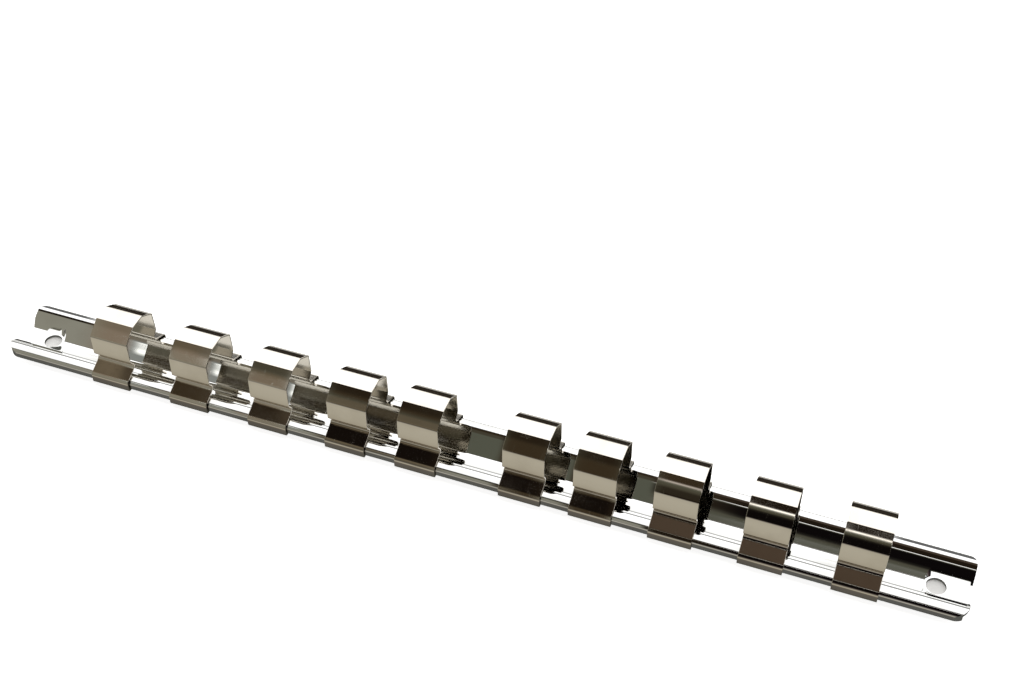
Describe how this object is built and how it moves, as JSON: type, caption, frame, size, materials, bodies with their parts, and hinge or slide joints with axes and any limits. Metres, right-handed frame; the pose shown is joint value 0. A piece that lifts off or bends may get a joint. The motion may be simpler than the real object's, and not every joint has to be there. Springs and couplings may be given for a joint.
{
  "type": "socket rail",
  "caption": "Bent steel channel rail with sliding spring clips whose square heads hold drive sockets in a row; screwed to a wall or laid in a tool drawer.",
  "frame": {"origin": "middle of the underside of the rail's floor, the face that lies on the wall or bench", "axes": "+X along the rail towards the end with clip_10, +Y across the rail, +Z out of the wall or bench towards the clip heads"},
  "size_m": [0.254, 0.02, 0.018],
  "materials": {
    "rail_chrome": "bright chrome plate on mild steel sheet",
    "clip_nickel": "bright nickel plate on spring steel strip, slightly warm"
  },
  "bodies": {
    "rail": {"rail": "rail_chrome"},
    "clip_01": {"clip_01": "clip_nickel"},
    "clip_02": {"clip_02": "clip_nickel"},
    "clip_03": {"clip_03": "clip_nickel"},
    "clip_04": {"clip_04": "clip_nickel"},
    "clip_05": {"clip_05": "clip_nickel"},
    "clip_06": {"clip_06": "clip_nickel"},
    "clip_07": {"clip_07": "clip_nickel"},
    "clip_08": {"clip_08": "clip_nickel"},
    "clip_09": {"clip_09": "clip_nickel"},
    "clip_10": {"clip_10": "clip_nickel"}
  },
  "joints": [
    {"name": "clip_01_slide", "type": "slide", "parent": "rail", "child": "clip_01", "axis": [1, 0, 0], "range_m": [-0.023, 0.0059]},
    {"name": "clip_02_slide", "type": "slide", "parent": "rail", "child": "clip_02", "axis": [1, 0, 0], "range_m": [-0.0059, 0.0057]},
    {"name": "clip_03_slide", "type": "slide", "parent": "rail", "child": "clip_03", "axis": [1, 0, 0], "range_m": [-0.0057, 0.0052]},
    {"name": "clip_04_slide", "type": "slide", "parent": "rail", "child": "clip_04", "axis": [1, 0, 0], "range_m": [-0.0052, 0.004]},
    {"name": "clip_05_slide", "type": "slide", "parent": "rail", "child": "clip_05", "axis": [1, 0, 0], "range_m": [-0.004, 0.0082]},
    {"name": "clip_06_slide", "type": "slide", "parent": "rail", "child": "clip_06", "axis": [1, 0, 0], "range_m": [-0.0082, 0.0034]},
    {"name": "clip_07_slide", "type": "slide", "parent": "rail", "child": "clip_07", "axis": [1, 0, 0], "range_m": [-0.0034, 0.0044]},
    {"name": "clip_08_slide", "type": "slide", "parent": "rail", "child": "clip_08", "axis": [1, 0, 0], "range_m": [-0.0044, 0.0054]},
    {"name": "clip_09_slide", "type": "slide", "parent": "rail", "child": "clip_09", "axis": [1, 0, 0], "range_m": [-0.0054, 0.0055]},
    {"name": "clip_10_slide", "type": "slide", "parent": "rail", "child": "clip_10", "axis": [1, 0, 0], "range_m": [-0.0055, 0.0165]}
  ]
}
